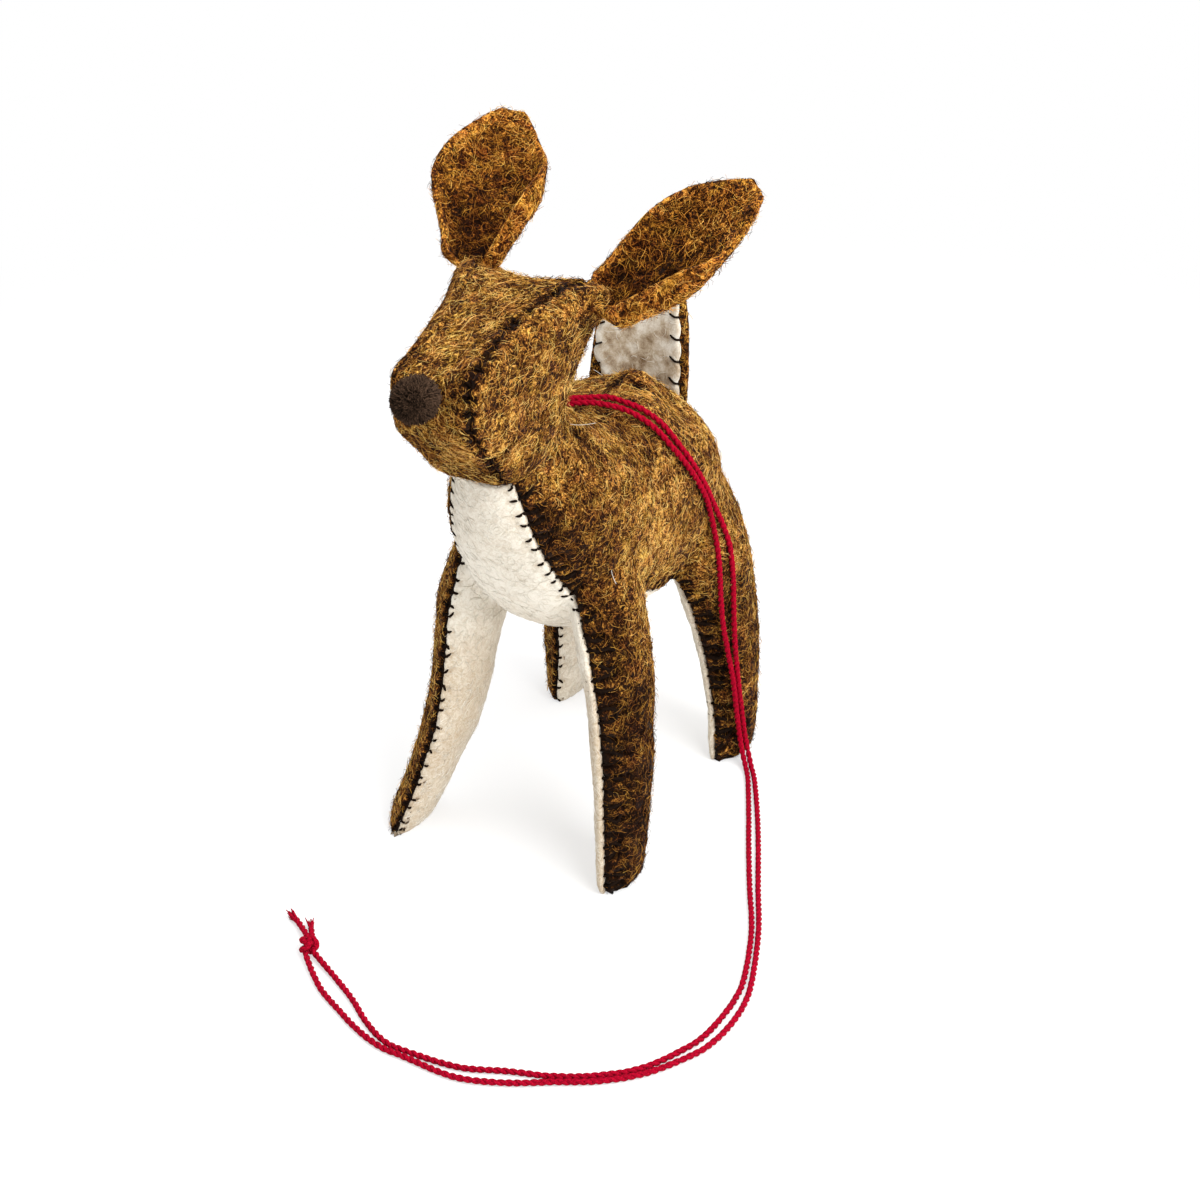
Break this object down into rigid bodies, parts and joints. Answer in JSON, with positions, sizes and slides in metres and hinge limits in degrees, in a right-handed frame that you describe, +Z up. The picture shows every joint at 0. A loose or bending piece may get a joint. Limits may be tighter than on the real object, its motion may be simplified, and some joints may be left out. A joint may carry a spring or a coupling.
{
  "type": "felt christmas ornament",
  "caption": "Standing stuffed felt fawn with cream underside, cupped ears, upright tail, pom-pom nose and a knotted red hanging cord.",
  "frame": {"origin": "under the middle of the fawn without its cord, on the surface that its feet stand on", "axes": "+Z up; the fawn faces -Y, with its own left side at +X"},
  "size_m": [0.0718, 0.1049, 0.112],
  "materials": {
    "brown_felt": "heathered wool felt",
    "cream_felt": "wool felt",
    "stuffing": "loose fibre filling",
    "pompom_yarn": "cut yarn tuft",
    "red_cord": "two-ply twisted cord",
    "stitch_thread": "sewing thread"
  },
  "bodies": {
    "body": {"side_panel_left": "brown_felt", "side_panel_right": "brown_felt", "underbody_panel": "cream_felt", "head_gusset": "brown_felt", "stuffing_trunk": "stuffing", "stuffing_head": "stuffing", "stuffing_leg_front_left": "stuffing", "stuffing_leg_front_right": "stuffing", "stuffing_leg_hind_left": "stuffing", "stuffing_leg_hind_right": "stuffing", "nose_pompom": "pompom_yarn", "cord_strand_upper": "red_cord", "cord_strand_lower": "red_cord", "cord_tail_long": "red_cord", "cord_tail_short": "red_cord", "cord_knot": "red_cord"},
    "ear_left": {"ear_left": "brown_felt"},
    "ear_right": {"ear_right": "brown_felt"},
    "tail": {"tail_outer": "brown_felt", "tail_lining": "cream_felt"}
  },
  "joints": [
    {"name": "ear_left_flop", "type": "hinge", "parent": "body", "child": "ear_left", "pos_m": [0.00732, -0.00592, 0.09392], "axis": [-0.6981, 0.5955, 0.3975], "range_deg": [-25, 25], "stiffness_Nm_per_rad": 0.0006},
    {"name": "ear_right_flop", "type": "hinge", "parent": "body", "child": "ear_right", "pos_m": [-0.01658, -0.00642, 0.09545], "axis": [-0.8853, -0.4318, 0.1727], "range_deg": [-25, 25], "stiffness_Nm_per_rad": 0.0006},
    {"name": "tail_fold", "type": "hinge", "parent": "body", "child": "tail", "pos_m": [-0.01023, 0.03308, 0.0582], "axis": [1, 0, 0], "range_deg": [-30, 20], "stiffness_Nm_per_rad": 0.0015}
  ]
}
